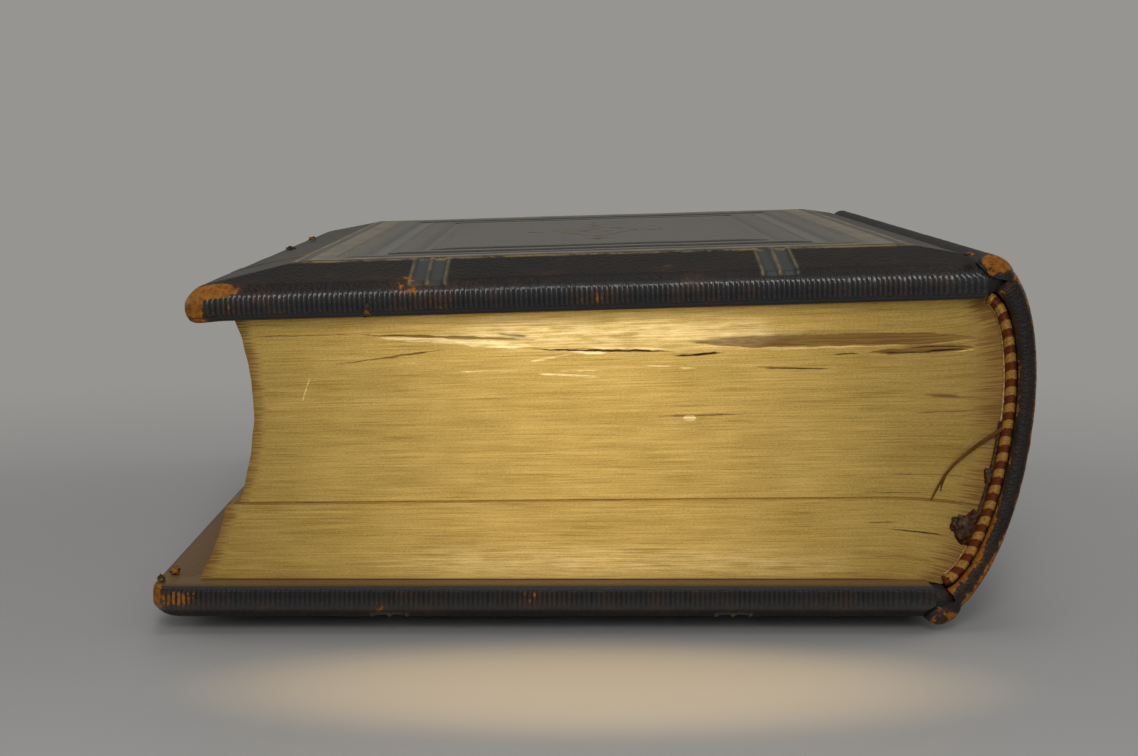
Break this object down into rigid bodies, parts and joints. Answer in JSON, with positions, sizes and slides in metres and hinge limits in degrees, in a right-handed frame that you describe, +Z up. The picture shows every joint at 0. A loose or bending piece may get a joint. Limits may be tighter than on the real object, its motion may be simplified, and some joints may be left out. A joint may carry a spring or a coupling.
{
  "type": "antique bible",
  "caption": "Thick antique bible lying closed: bevelled leather covers hinged to a rounded, leaning gilt-edged text block with a hollow leather spine.",
  "frame": {"origin": "centre of the bounding box at the surface that the closed book lies on", "axes": "+X from fore-edge to spine, +Y from head to tail, +Z up through the front cover"},
  "size_m": [0.2338, 0.262, 0.1017],
  "materials": {
    "gilt_leaves": "worn gilt edges",
    "hemp_cord": "twisted cord",
    "mull_cloth": "open cloth in glue",
    "endband_silk": "striped silk",
    "card": "plain",
    "morocco": "grained, tooled, worn",
    "millboard": "dense plain board",
    "endpaper": "aged plain paper"
  },
  "bodies": {
    "back_cover": {"back_board": "millboard", "back_leather": "morocco", "back_pastedown": "endpaper"},
    "book_block": {"text_block": "gilt_leaves", "sewing_cords": "hemp_cord", "spine_mull": "mull_cloth", "head_endband": "endband_silk", "tail_endband": "endband_silk", "spine_card": "card", "spine_leather": "morocco"},
    "front_cover": {"front_board": "millboard", "front_leather": "morocco", "front_pastedown": "endpaper"}
  },
  "joints": [
    {"name": "back_joint", "type": "hinge", "parent": "back_cover", "child": "book_block", "pos_m": [0.09056, 0, 0.0076], "axis": [0, 1, 0], "range_deg": [0, 90]},
    {"name": "front_joint", "type": "hinge", "parent": "book_block", "child": "front_cover", "pos_m": [0.10156, 0, 0.0946], "axis": [0, 1, 0], "range_deg": [0, 115]}
  ]
}
